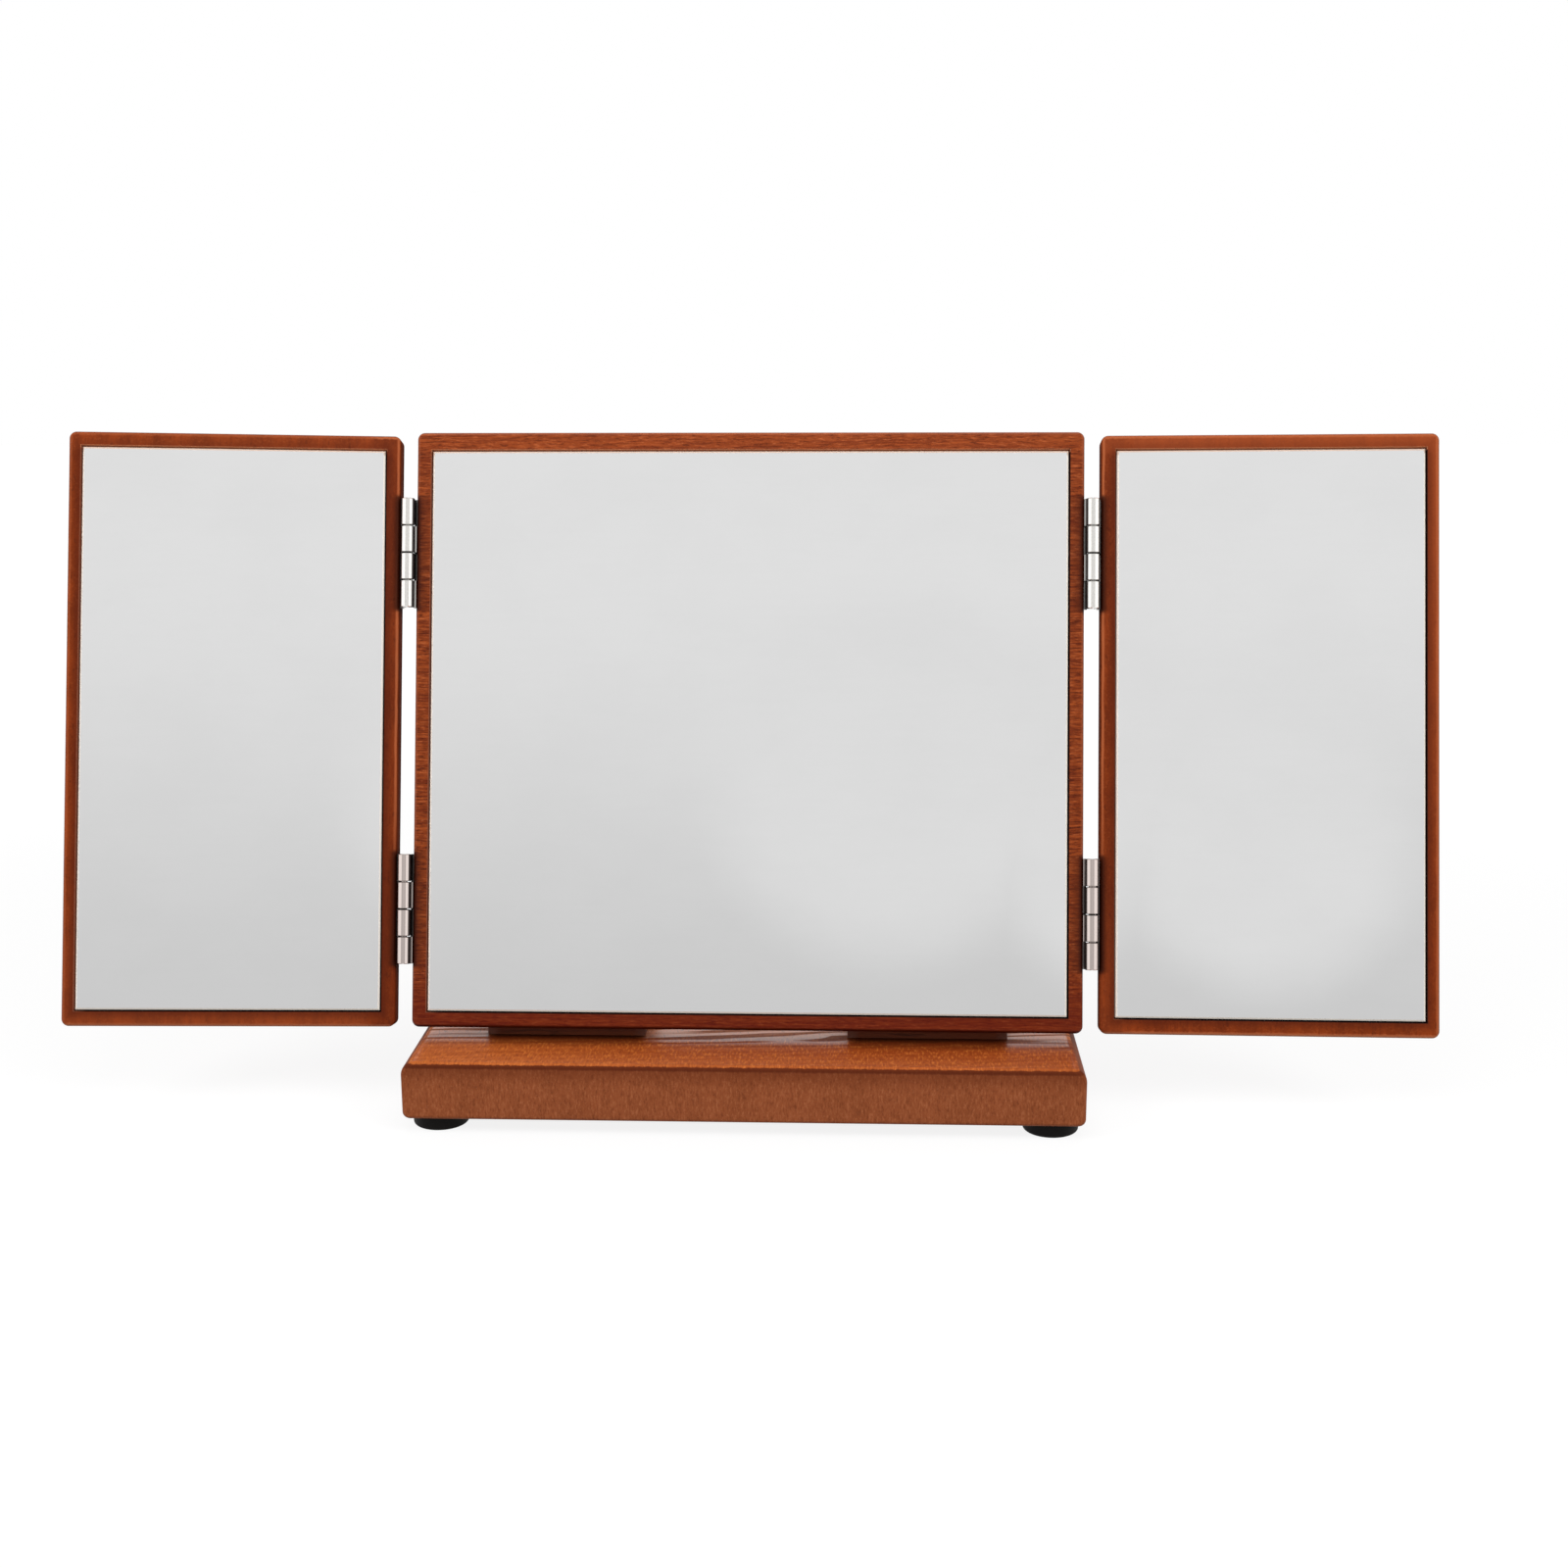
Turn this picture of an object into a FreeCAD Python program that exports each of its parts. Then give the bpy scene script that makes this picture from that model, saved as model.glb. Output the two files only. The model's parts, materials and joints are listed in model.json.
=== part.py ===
import FreeCAD, Part
import math
import os

from FreeCAD import Placement, Rotation, Vector

# Triptych vanity mirror: a centre mirror leaning back on a board base, with a wing hinged to each side.
# Millimetres. +X is the viewer's right, +Y points away from the viewer and +Z is up.
# The origin is on the table top, under the middle of the base.

# Mirror plates of silvered glass, each held in its pocket by strips of foam tape
mirror_height = 195.0
centre_mirror_width = 221.0
wing_mirror_width = 104.2
mirror_thickness = 3.0
mirror_arris = 0.6  # ground bevel round the front of the glass
mirror_recess = 0.3  # glass face behind the panel face
mirror_gap = 0.6  # clearance round the glass in its pocket
tape_thickness = 0.6
tape_width = 19.0
tape_side_margin = 10.0
tape_end_margin = 12.0
centre_tape_strips = 3
wing_tape_strips = 2

# Panels: veneered boards with a pocket routed into the front, and the rim left round each pocket
panel_thickness = 9.0
centre_rim_side = 4.9
centre_rim_top = 6.0
wing_rim_hinge_side = 4.9
wing_rim_outer = 4.1
wing_rim_top = 4.7
rim_bottom = 5.1
panel_corner_radius = 2.5
panel_edge_radius = 1.2

# How the panels stand: the lean of the centre panel, and each wing's fold forward from flat
lean_angle = 14.0
panel_setback = 21.2  # base front to the panel's front bottom edge
panel_lift = 5.1  # base top to the panel's front bottom edge
left_wing_fold = 5.0
right_wing_fold = 1.8

# Base board with rounded ends
base_width = 231.4
base_depth = 90.0
base_thickness = 20.5
base_end_top_radius = 5.0  # rounding along the top of each end
base_end_bottom_radius = 2.5
base_front_edge_radius = 1.5  # easing all round the front and the back face

# Rubber feet with a steel washer at the bottom of the screw well
foot_height = 5.5
foot_top_radius = 9.8
foot_bottom_radius = 9.5
foot_edge_radius = 1.0
foot_side_inset = 10.8  # base ends to the foot's centre
foot_front_inset = 13.0  # base front and back to the foot's centre
foot_well_depth = 3.3
washer_radius = 4.2
washer_thickness = 1.0
washer_clearance = 0.1
foot_screw_radius = 1.75
foot_screw_head_radius = 3.4
foot_screw_head_height = 1.7
foot_screw_bite = 11.0

# Wedge blocks that carry the centre panel on the base
support_width = 55.5
support_end_margin = 24.9  # base end to the block
support_height = 65.0
support_foot_depth = 46.0
support_top_depth = 14.0
support_edge_radius = 2.0

# Countersunk wood screws that hold the wedge blocks, from below the base and from the pocket floor
wood_screw_radius = 1.9
wood_screw_head_radius = 3.9
base_screw_spacing = 28.0
base_screw_setback = 20.0  # from the block's front bottom edge
base_screw_bite = 20.0
panel_screw_low = 16.0  # height above the panel's bottom edge
panel_screw_high = 46.0
panel_screw_bite = 15.0

# Butt hinges with rolled knuckles and cranked leaves, screwed to the panel edges
hinge_length = 38.0
hinge_inset = 22.0  # wing end to hinge end
knuckle_count = 4
knuckle_gap = 0.35
knuckle_chamfer = 0.2
pin_radius = 1.05
pin_clearance = 0.05
pin_end_chamfer = 0.3
leaf_thickness = 1.2
leaf_crank = 0.5  # step outwards from the knuckle to the plate
leaf_crank_start = 0.3  # behind the pin axis
leaf_crank_run = 0.4
leaf_front_clearance = 1.0  # plate to the other leaf's knuckles
leaf_back_margin = 0.5  # plate to the panel's back
leaf_corner_radius = 1.5
roll_seam_width = 0.3
roll_seam_angle = 65.0
pivot_proud = 0.9  # pin axis in front of the panel face
hinge_screw_radius = 1.0
hinge_screw_head_radius = 1.8
hinge_screw_length = 10.0
hinge_screw_inset = 8.0  # hinge end to screw axis
hinge_screw_cover = 0.8  # board left between the pocket floor and the screw

# Details shared by every screw
screw_clearance = 0.05
screw_tip_length = 1.6
recess_reach = 0.6  # arm of the cross recess as a share of the head radius
recess_width = 0.24  # width of the arm as a share of the head radius
recess_depth = 0.5  # depth of the recess as a share of the head height

# Sizes that follow from the ones above
pocket_depth = mirror_recess + mirror_thickness + tape_thickness
pocket_height = mirror_height + 2 * mirror_gap
centre_width = centre_mirror_width + 2 * (mirror_gap + centre_rim_side)
wing_width = wing_mirror_width + 2 * mirror_gap + wing_rim_hinge_side + wing_rim_outer
centre_height = pocket_height + rim_bottom + centre_rim_top
wing_height = pocket_height + rim_bottom + wing_rim_top

base_top = foot_height + base_thickness
base_front = -base_depth / 2
panel_seat = Vector(0, base_front + panel_setback, base_top + panel_lift)

bore_radius = pin_radius + pin_clearance
knuckle_radius = bore_radius + leaf_thickness
leaf_face = knuckle_radius + leaf_crank  # pin axis to the panel edge
leaf_front = knuckle_radius + leaf_front_clearance
leaf_back = pivot_proud + panel_thickness - leaf_back_margin
pivot_x = centre_width / 2 + leaf_face
support_reach = base_width / 2 - support_end_margin - support_width / 2
hinge_screw_setback = pivot_proud + pocket_depth + hinge_screw_cover + hinge_screw_radius
hinge_heights = {
    "upper": wing_height - hinge_inset - hinge_length / 2,
    "lower": hinge_inset + hinge_length / 2,
}

LEFT, RIGHT = -1, 1
SIDES = {"left": LEFT, "right": RIGHT}
WING_FOLDS = {LEFT: left_wing_fold, RIGHT: right_wing_fold}
X_AXIS, Y_AXIS, Z_AXIS = Vector(1, 0, 0), Vector(0, 1, 0), Vector(0, 0, 1)
ORIGIN = Vector(0, 0, 0)
SAME_PLANE = 0.001


def placed(shape, placement):
    """A copy of a shape, moved by a placement."""
    copy = shape.copy()
    copy.Placement = placement.multiply(copy.Placement)
    return copy


def box_between(low, high):
    size = high - low
    return Part.makeBox(size.x, size.y, size.z, low)


def edges_along(shape, axis):
    return [edge for edge in shape.Edges if abs(edge.tangentAt(edge.FirstParameter).dot(axis)) > 0.5]


def edges_in_plane(shape, axis, level):
    """The edges of a shape that lie in the plane across an axis at the given level."""
    return [
        edge
        for edge in shape.Edges
        if all(abs(edge.valueAt(at).dot(axis) - level) < SAME_PLANE for at in edge.ParameterRange)
        and abs(edge.CenterOfMass.dot(axis) - level) < SAME_PLANE
    ]


def revolved(outline):
    """A solid turned about Z from an outline of (radius, height) points."""
    points = [Vector(radius, 0, height) for radius, height in outline]
    return Part.Face(Part.makePolygon(points + points[:1])).revolve(ORIGIN, Z_AXIS, 360)


def countersunk_screw(shank_radius, head_radius, length):
    """A screw with its head's flat face at the origin and its shank along +Z."""
    head_height = head_radius - shank_radius
    body = revolved([
        (0, 0),
        (head_radius, 0),
        (shank_radius, head_height),
        (shank_radius, length - screw_tip_length),
        (0, length),
    ])
    return body.cut(cross_recess(head_radius, head_height))


def countersunk_hole(shank_radius, head_radius, length):
    """The space that a countersunk screw fills, with its clearance, open past the head's face."""
    shank = shank_radius + screw_clearance
    head = head_radius + screw_clearance
    head_height = head_radius - shank_radius
    return revolved([
        (0, -head_height),
        (head, -head_height),
        (head, 0),
        (shank, head_height),
        (shank, length + screw_clearance),
        (0, length + screw_clearance),
    ])


def cross_recess(head_radius, head_height):
    """The driver's cross, cut into a head whose face is at the origin."""
    arm = head_radius * recess_reach
    half = head_radius * recess_width / 2
    depth = head_height * recess_depth
    across = box_between(Vector(-arm, -half, 0), Vector(arm, half, depth))
    along = box_between(Vector(-half, -arm, 0), Vector(half, arm, depth))
    return across.fuse(along)


def base_board():
    low = Vector(-base_width / 2, -base_depth / 2, foot_height)
    high = Vector(base_width / 2, base_depth / 2, base_top)
    board = box_between(low, high)
    for level, radius in ((base_top, base_end_top_radius), (foot_height, base_end_bottom_radius)):
        end_edges = edges_along(Part.makeCompound(edges_in_plane(board, Z_AXIS, level)), Y_AXIS)
        board = board.makeFillet(radius, end_edges)
    for level in (low.y, high.y):
        board = board.makeFillet(base_front_edge_radius, edges_in_plane(board, Y_AXIS, level))
    return board


def foot_places():
    """Placements of the feet by name, at the corners of the base."""
    reach_x = base_width / 2 - foot_side_inset
    reach_y = base_depth / 2 - foot_front_inset
    return {
        f"{row}_{side}": Placement(Vector(SIDES[side] * reach_x, toward * reach_y, 0), Rotation())
        for row, toward in (("front", -1), ("rear", 1))
        for side in SIDES
    }


def rubber_foot():
    """A tapered foot with a rounded lower edge and a well for its washer and screw."""
    hole = foot_screw_radius + washer_clearance
    well = washer_radius + washer_clearance
    flat = foot_bottom_radius - foot_edge_radius
    slope = foot_edge_radius * math.sqrt(0.5)
    corners = [
        Vector(flat, 0, 0),
        Vector(well, 0, 0),
        Vector(well, 0, foot_well_depth),
        Vector(hole, 0, foot_well_depth),
        Vector(hole, 0, foot_height),
        Vector(foot_top_radius, 0, foot_height),
        Vector(foot_bottom_radius, 0, foot_edge_radius),
    ]
    bulge = Vector(flat + slope, 0, foot_edge_radius - slope)
    lower_edge = Part.Arc(corners[-1], bulge, corners[0]).toShape()
    outline = Part.Wire(Part.makePolygon(corners).Edges + [lower_edge])
    return Part.Face(outline).revolve(ORIGIN, Z_AXIS, 360)


def foot_washer():
    bearing = Vector(0, 0, foot_well_depth - washer_thickness)
    disc = Part.makeCylinder(washer_radius, washer_thickness, bearing)
    return disc.cut(Part.makeCylinder(foot_screw_radius + washer_clearance, foot_height))


def foot_screw():
    """A pan-head screw whose head bears on the washer from below."""
    bearing = foot_well_depth - washer_thickness
    head_bottom = bearing - foot_screw_head_height
    rim = foot_screw_head_height / 2
    tip = foot_height + foot_screw_bite
    body = revolved([
        (0, head_bottom),
        (foot_screw_head_radius - rim, head_bottom),
        (foot_screw_head_radius, bearing - rim),
        (foot_screw_head_radius, bearing),
        (foot_screw_radius, bearing),
        (foot_screw_radius, tip - screw_tip_length),
        (0, tip),
    ])
    recess = cross_recess(foot_screw_head_radius, foot_screw_head_height)
    return body.cut(placed(recess, Placement(Vector(0, 0, head_bottom), Rotation())))


def foot_screw_hole():
    depth = foot_height + foot_screw_bite + screw_clearance
    return Part.makeCylinder(foot_screw_radius + screw_clearance, depth)


def panel_back_at(height):
    """The place in depth of the leaning centre panel's back, at a height above the table."""
    lean = math.radians(lean_angle)
    back_y = panel_seat.y + panel_thickness * math.cos(lean)
    back_z = panel_seat.z - panel_thickness * math.sin(lean)
    return back_y + (height - back_z) * math.tan(lean)


def support_block():
    """A wedge block with its front against the panel's back and its foot on the base."""
    crest = base_top + support_height
    front_bottom, front_top = panel_back_at(base_top), panel_back_at(crest)
    corners = [
        Vector(-support_width / 2, front_bottom, base_top),
        Vector(-support_width / 2, front_bottom + support_foot_depth, base_top),
        Vector(-support_width / 2, front_top + support_top_depth, crest),
        Vector(-support_width / 2, front_top, crest),
    ]
    block = Part.Face(Part.makePolygon(corners + corners[:1])).extrude(Vector(support_width, 0, 0))
    crest_back = [edge for edge in edges_in_plane(block, Z_AXIS, crest)
                  if edge.CenterOfMass.y > front_top + SAME_PLANE]
    slopes = [edge for edge in block.Edges
              if edge.BoundBox.ZLength > support_height / 2
              and edge.CenterOfMass.y > panel_back_at(edge.CenterOfMass.z) + SAME_PLANE]
    return block.makeFillet(support_edge_radius, crest_back + slopes)


def support_places():
    return {
        name: Placement(Vector(side * support_reach, 0, 0), Rotation())
        for name, side in SIDES.items()
    }


def base_screw_places():
    """Placements of a block's screws from below the base, beside the block's own middle."""
    depth = panel_back_at(base_top) + base_screw_setback
    return [
        Placement(Vector(side * base_screw_spacing / 2, depth, foot_height), Rotation())
        for side in SIDES.values()
    ]


def panel_screw_places():
    """Placements of a block's screws from the pocket floor, in the upright panel's frame."""
    into_panel = Rotation(Z_AXIS, Y_AXIS)
    heights = (panel_screw_low, panel_screw_high)
    return [Placement(Vector(0, pocket_depth, height), into_panel) for height in heights]


def panel_board(edge_a, edge_b, height, rim_a, rim_b):
    """An upright panel between two edges in X, with its pocket behind the rims; front face at Y 0."""
    low, high = sorted((edge_a, edge_b))
    box = box_between(Vector(low, 0, 0), Vector(high, panel_thickness, height))
    board = box.makeFillet(panel_corner_radius, edges_along(box, Y_AXIS))
    for level in (0, panel_thickness):
        board = board.makeFillet(panel_edge_radius, edges_in_plane(board, Y_AXIS, level))
    pocket_low, pocket_high = sorted((rim_a, rim_b))
    pocket_top = rim_bottom + pocket_height
    pocket = box_between(Vector(pocket_low, 0, rim_bottom), Vector(pocket_high, pocket_depth, pocket_top))
    return board.cut(pocket)


def mirror_plate(middle, width):
    """A glass plate with a ground front edge, upright in its pocket."""
    bottom = rim_bottom + mirror_gap
    low = Vector(middle - width / 2, mirror_recess, bottom)
    high = Vector(middle + width / 2, mirror_recess + mirror_thickness, bottom + mirror_height)
    plate = box_between(low, high)
    return plate.makeChamfer(mirror_arris, edges_in_plane(plate, Y_AXIS, mirror_recess))


def mirror_tape(middle, width, strips):
    """Upright strips of tape between a mirror and its pocket floor, spread over the mirror's width."""
    bottom = rim_bottom + mirror_gap
    first = middle - width / 2 + tape_side_margin
    step = (width - 2 * tape_side_margin - tape_width) / (strips - 1)
    solids = []
    for index in range(strips):
        left = first + index * step
        low = Vector(left, pocket_depth - tape_thickness, bottom + tape_end_margin)
        high = Vector(left + tape_width, pocket_depth, bottom + mirror_height - tape_end_margin)
        solids.append(box_between(low, high))
    return Part.makeCompound(solids)


def knuckle(index):
    """One rolled knuckle, counted from the top, with the seam where the roll closes and its cranked neck."""
    pitch = hinge_length / knuckle_count
    top = hinge_length / 2 - index * pitch
    bottom = top - pitch
    if index > 0:
        top -= knuckle_gap / 2
    if index < knuckle_count - 1:
        bottom += knuckle_gap / 2
    ring = revolved([
        (bore_radius, bottom),
        (knuckle_radius - knuckle_chamfer, bottom),
        (knuckle_radius, bottom + knuckle_chamfer),
        (knuckle_radius, top - knuckle_chamfer),
        (knuckle_radius - knuckle_chamfer, top),
        (bore_radius, top),
    ])
    half_seam = roll_seam_width / 2
    seam = box_between(Vector(0, -half_seam, bottom), Vector(2 * knuckle_radius, half_seam, top))
    ring = ring.cut(placed(seam, Placement(ORIGIN, Rotation(Z_AXIS, roll_seam_angle))))
    crank_end = leaf_crank_start + leaf_crank_run
    inner_face = leaf_face - leaf_thickness
    outline = [
        Vector(bore_radius, 0, bottom),
        Vector(knuckle_radius, 0, bottom),
        Vector(knuckle_radius, leaf_crank_start, bottom),
        Vector(leaf_face, crank_end, bottom),
        Vector(leaf_face, leaf_front, bottom),
        Vector(inner_face, leaf_front, bottom),
        Vector(inner_face, crank_end + leaf_crank, bottom),
        Vector(bore_radius, leaf_crank_start + leaf_crank, bottom),
    ]
    neck = Part.Face(Part.makePolygon(outline + outline[:1])).extrude(Vector(0, 0, top - bottom))
    return ring.fuse(neck)


def hinge_screw_places():
    """Placements of a leaf's screws, from the plate's inner face into the panel edge on the +X side."""
    into_edge = Rotation(Z_AXIS, X_AXIS)
    reach = hinge_length / 2 - hinge_screw_inset
    inner_face = leaf_face - leaf_thickness
    return [
        Placement(Vector(inner_face, hinge_screw_setback, height), into_edge)
        for height in (reach, -reach)
    ]


def hinge_leaf():
    """A leaf about its pin on Z: plate on the +X side, every other knuckle from the second down."""
    low = Vector(leaf_face - leaf_thickness, leaf_front, -hinge_length / 2)
    high = Vector(leaf_face, leaf_back, hinge_length / 2)
    plate = box_between(low, high)
    back_corners = [
        edge for edge in edges_along(plate, X_AXIS)
        if edge.CenterOfMass.y > leaf_back - SAME_PLANE
    ]
    leaf = plate.makeFillet(leaf_corner_radius, back_corners)
    leaf = leaf.fuse([knuckle(index) for index in range(1, knuckle_count, 2)]).removeSplitter()
    hole = countersunk_hole(hinge_screw_radius, hinge_screw_head_radius, hinge_screw_length)
    return leaf.cut([placed(hole, place) for place in hinge_screw_places()])


def hinge_pin():
    half = hinge_length / 2
    shoulder = half - pin_end_chamfer
    tip = pin_radius - pin_end_chamfer
    return revolved([
        (0, -half), (tip, -half), (pin_radius, -shoulder), (pin_radius, shoulder), (tip, half), (0, half),
    ])


def centre_seat():
    """Placement of the upright centre panel on its lean."""
    return Placement(panel_seat, Rotation(X_AXIS, -lean_angle))


def wing_seat(side):
    """Placement of an upright wing, folded forward about its pin axis and on the centre panel's lean."""
    pivot = Vector(side * pivot_x, -pivot_proud, 0)
    fold = Placement(ORIGIN, Rotation(Z_AXIS, -side * WING_FOLDS[side]), pivot)
    return centre_seat().multiply(fold)


def hinge_place(side, height):
    return Placement(Vector(side * pivot_x, -pivot_proud, height), Rotation())


def leaf_turn(side):
    """The half turn that puts a leaf's plate on the given side of the pin; the two leaves are alike."""
    return Rotation() if side == RIGHT else Rotation(Y_AXIS, 180)


def leaf_places(side, toward):
    """Placements in the upright panel's frame of leaves whose plates lie toward one side of the pin."""
    return {
        name: hinge_place(side, height).multiply(Placement(ORIGIN, leaf_turn(toward)))
        for name, height in hinge_heights.items()
    }


def edge_screws(leaves, solid):
    """A screw or its hole at every screw place of the given leaves."""
    return [placed(solid, leaf.multiply(place)) for leaf in leaves for place in hinge_screw_places()]


def stand_nodes():
    """The base, its feet, the wedge blocks and their screws."""
    feet = foot_places()
    supports = support_places()
    wood_screw_length = base_thickness + base_screw_bite
    wood_screw = countersunk_screw(wood_screw_radius, wood_screw_head_radius, wood_screw_length)
    wood_hole = countersunk_hole(wood_screw_radius, wood_screw_head_radius, wood_screw_length)
    block_screws = [
        support.multiply(place)
        for support in supports.values()
        for place in base_screw_places()
    ]
    base_holes = [placed(wood_hole, place) for place in block_screws]
    foot_holes = [placed(foot_screw_hole(), place) for place in feet.values()]
    panel_holes = [placed(panel_screw_hole(), place) for place in seated_panel_screws()]

    nodes = {"base_board": base_board().cut(base_holes + foot_holes)}
    for name, place in feet.items():
        nodes[f"{name}_foot"] = placed(rubber_foot(), place)
    nodes["foot_washers"] = Part.makeCompound([placed(foot_washer(), place) for place in feet.values()])
    nodes["foot_screws"] = Part.makeCompound([placed(foot_screw(), place) for place in feet.values()])
    for name, place in supports.items():
        nodes[f"{name}_support_block"] = placed(support_block(), place).cut(base_holes + panel_holes)
    nodes["support_base_screws"] = Part.makeCompound([placed(wood_screw, place) for place in block_screws])
    return nodes


def panel_screw_length():
    return panel_thickness - pocket_depth + panel_screw_bite


def panel_screw_hole():
    return countersunk_hole(wood_screw_radius, wood_screw_head_radius, panel_screw_length())


def upright_panel_screws():
    """Placements of every pocket floor screw in the upright centre panel's frame."""
    return [
        support.multiply(place)
        for support in support_places().values()
        for place in panel_screw_places()
    ]


def seated_panel_screws():
    return [centre_seat().multiply(place) for place in upright_panel_screws()]


def centre_nodes():
    """The centre panel with its mirror, tape and screws, and the leaves and pins of its hinges."""
    seat = centre_seat()
    half = centre_width / 2
    rim = half - centre_rim_side
    leaves = {name: leaf_places(side, -side) for name, side in SIDES.items()}
    every_leaf = [place for side_leaves in leaves.values() for place in side_leaves.values()]
    hinge_hole = countersunk_hole(hinge_screw_radius, hinge_screw_head_radius, hinge_screw_length)
    hinge_screw = countersunk_screw(hinge_screw_radius, hinge_screw_head_radius, hinge_screw_length)
    wood_screw = countersunk_screw(wood_screw_radius, wood_screw_head_radius, panel_screw_length())
    floor_places = upright_panel_screws()
    floor_holes = [placed(panel_screw_hole(), place) for place in floor_places]
    floor_screws = [placed(wood_screw, place) for place in floor_places]

    board = panel_board(-half, half, centre_height, -rim, rim)
    nodes = {
        "centre_panel": board.cut(floor_holes + edge_screws(every_leaf, hinge_hole)),
        "centre_mirror": mirror_plate(0, centre_mirror_width),
        "centre_mirror_tape": mirror_tape(0, centre_mirror_width, centre_tape_strips),
        "centre_hinge_screws": Part.makeCompound(edge_screws(every_leaf, hinge_screw)),
        "support_panel_screws": Part.makeCompound(floor_screws),
    }
    for side_name, side_leaves in leaves.items():
        for level, place in side_leaves.items():
            hinge = f"{side_name}_{level}_hinge"
            nodes[f"{hinge}_centre_leaf"] = placed(hinge_leaf(), place)
            nodes[f"{hinge}_pin"] = placed(hinge_pin(), hinge_place(SIDES[side_name], hinge_heights[level]))
    return {name: placed(shape, seat) for name, shape in nodes.items()}


def wing_nodes(side_name):
    """One wing panel with its mirror and tape, and its own leaves and screws."""
    side = SIDES[side_name]
    inner = side * (pivot_x + leaf_face)
    outer = inner + side * wing_width
    rim_inner = inner + side * wing_rim_hinge_side
    rim_outer = outer - side * wing_rim_outer
    middle = (rim_inner + rim_outer) / 2
    leaves = leaf_places(side, side)
    hinge_hole = countersunk_hole(hinge_screw_radius, hinge_screw_head_radius, hinge_screw_length)
    hinge_screw = countersunk_screw(hinge_screw_radius, hinge_screw_head_radius, hinge_screw_length)

    board = panel_board(inner, outer, wing_height, rim_inner, rim_outer)
    nodes = {
        f"{side_name}_panel": board.cut(edge_screws(leaves.values(), hinge_hole)),
        f"{side_name}_mirror": mirror_plate(middle, wing_mirror_width),
        f"{side_name}_mirror_tape": mirror_tape(middle, wing_mirror_width, wing_tape_strips),
        f"{side_name}_wing_hinge_screws": Part.makeCompound(edge_screws(leaves.values(), hinge_screw)),
    }
    for level, place in leaves.items():
        nodes[f"{side_name}_{level}_hinge_wing_leaf"] = placed(hinge_leaf(), place)
    return {name: placed(shape, wing_seat(side)) for name, shape in nodes.items()}


def all_nodes():
    nodes = stand_nodes()
    nodes.update(centre_nodes())
    for side_name in SIDES:
        nodes.update(wing_nodes(side_name))
    return nodes


os.makedirs("parts", exist_ok=True)
for node, shape in all_nodes().items():
    shape.exportStep(f"parts/{node}.step")
    print(f"{node}: {len(shape.Solids)} solid(s), {shape.Volume:.1f} mm3, valid {shape.isValid()}")
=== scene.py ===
import json
import math

import bpy
from mathutils import Matrix, Vector


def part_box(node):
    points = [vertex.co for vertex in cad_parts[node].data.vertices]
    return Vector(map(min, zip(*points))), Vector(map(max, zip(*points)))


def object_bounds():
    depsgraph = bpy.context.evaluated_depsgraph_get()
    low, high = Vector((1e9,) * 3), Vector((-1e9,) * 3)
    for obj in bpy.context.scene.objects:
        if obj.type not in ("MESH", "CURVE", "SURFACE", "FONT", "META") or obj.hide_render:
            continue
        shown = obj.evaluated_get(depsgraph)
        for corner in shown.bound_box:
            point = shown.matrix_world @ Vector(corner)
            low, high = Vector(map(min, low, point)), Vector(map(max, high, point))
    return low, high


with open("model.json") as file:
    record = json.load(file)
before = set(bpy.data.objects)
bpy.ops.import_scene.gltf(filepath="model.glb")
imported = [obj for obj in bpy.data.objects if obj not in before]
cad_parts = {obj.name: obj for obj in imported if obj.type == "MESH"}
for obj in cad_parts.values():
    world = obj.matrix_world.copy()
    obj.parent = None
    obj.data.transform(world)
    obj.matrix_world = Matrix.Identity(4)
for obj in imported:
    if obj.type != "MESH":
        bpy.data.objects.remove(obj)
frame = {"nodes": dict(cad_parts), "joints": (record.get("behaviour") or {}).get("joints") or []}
cad_low, cad_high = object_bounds()

# Triptych vanity mirror: the finishes of its pieces, the studio round it and the camera.
# Metres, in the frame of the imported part: +X right, +Y away from the viewer, +Z up, table top at Z 0.

MM = 0.001

# Camera, as the photograph was taken
camera_place = Vector((40.83, -684.84, 268.21)) * MM
camera_pitch = math.radians(12.761)
camera_turn = math.radians(2.343)
camera_roll = math.radians(-0.195)
lens_mm = 46.462
sensor_mm = 36.0

# Floor: white far away, a little lower near the object so that its shadow shows
floor_size = 8.0
floor_glow = 0.86
floor_shadow = 0.16
floor_albedo = 0.40
floor_near = 0.45
floor_far = 1.1

# Room: what lights the object, and what gloss and mirrors show of it, by the angle away from straight ahead.
# The wall ahead is brighter higher up, and in patches that fade out between the two angles of their reach.
room_light = 0.34
room_ahead_low = 0.675
room_ahead_high = 0.86
ahead_heights = (6.0, 22.0)
horizon_heights = (0.0, 7.0)
room_ahead = (40.0, 34.0)
wall_glow = 0.832
wall_glows = (
    {"turn": 0.7, "height": 15.5, "reach": (6.2, 3.2)},
    {"turn": 7.7, "height": 13.4, "reach": (4.8, 2.4)},
)
room_bright = 1.35
room_beside = (106.0, 98.0)
room_dark = 0.08
room_behind = (152.0, 142.0)
room_overhead = 0.7
overhead_heights = (50.0, 66.0)

lamps = {
    "left_lamp": {"place": (-0.90, -0.68, 0.78), "size": 0.5, "power": 7.0},
    "right_lamp": {"place": (0.90, -0.68, 0.78), "size": 0.5, "power": 7.0},
    "top_lamp": {"place": (0.0, -0.34, 0.54), "size": 0.4, "power": 0.9},
    "back_lamp": {"place": (0.15, 1.05, 1.05), "size": 0.8, "power": 6.0},
}

# How panels and hinges are made, for the finishes that follow them: the play round a mirror, the knuckles of
# a hinge, and how dark each gap between them is, from the lowest up
glass_gap = 0.6 * MM
knuckle_count = 4
joint_dirt = (0.55, 0.9, 0.4)

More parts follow.
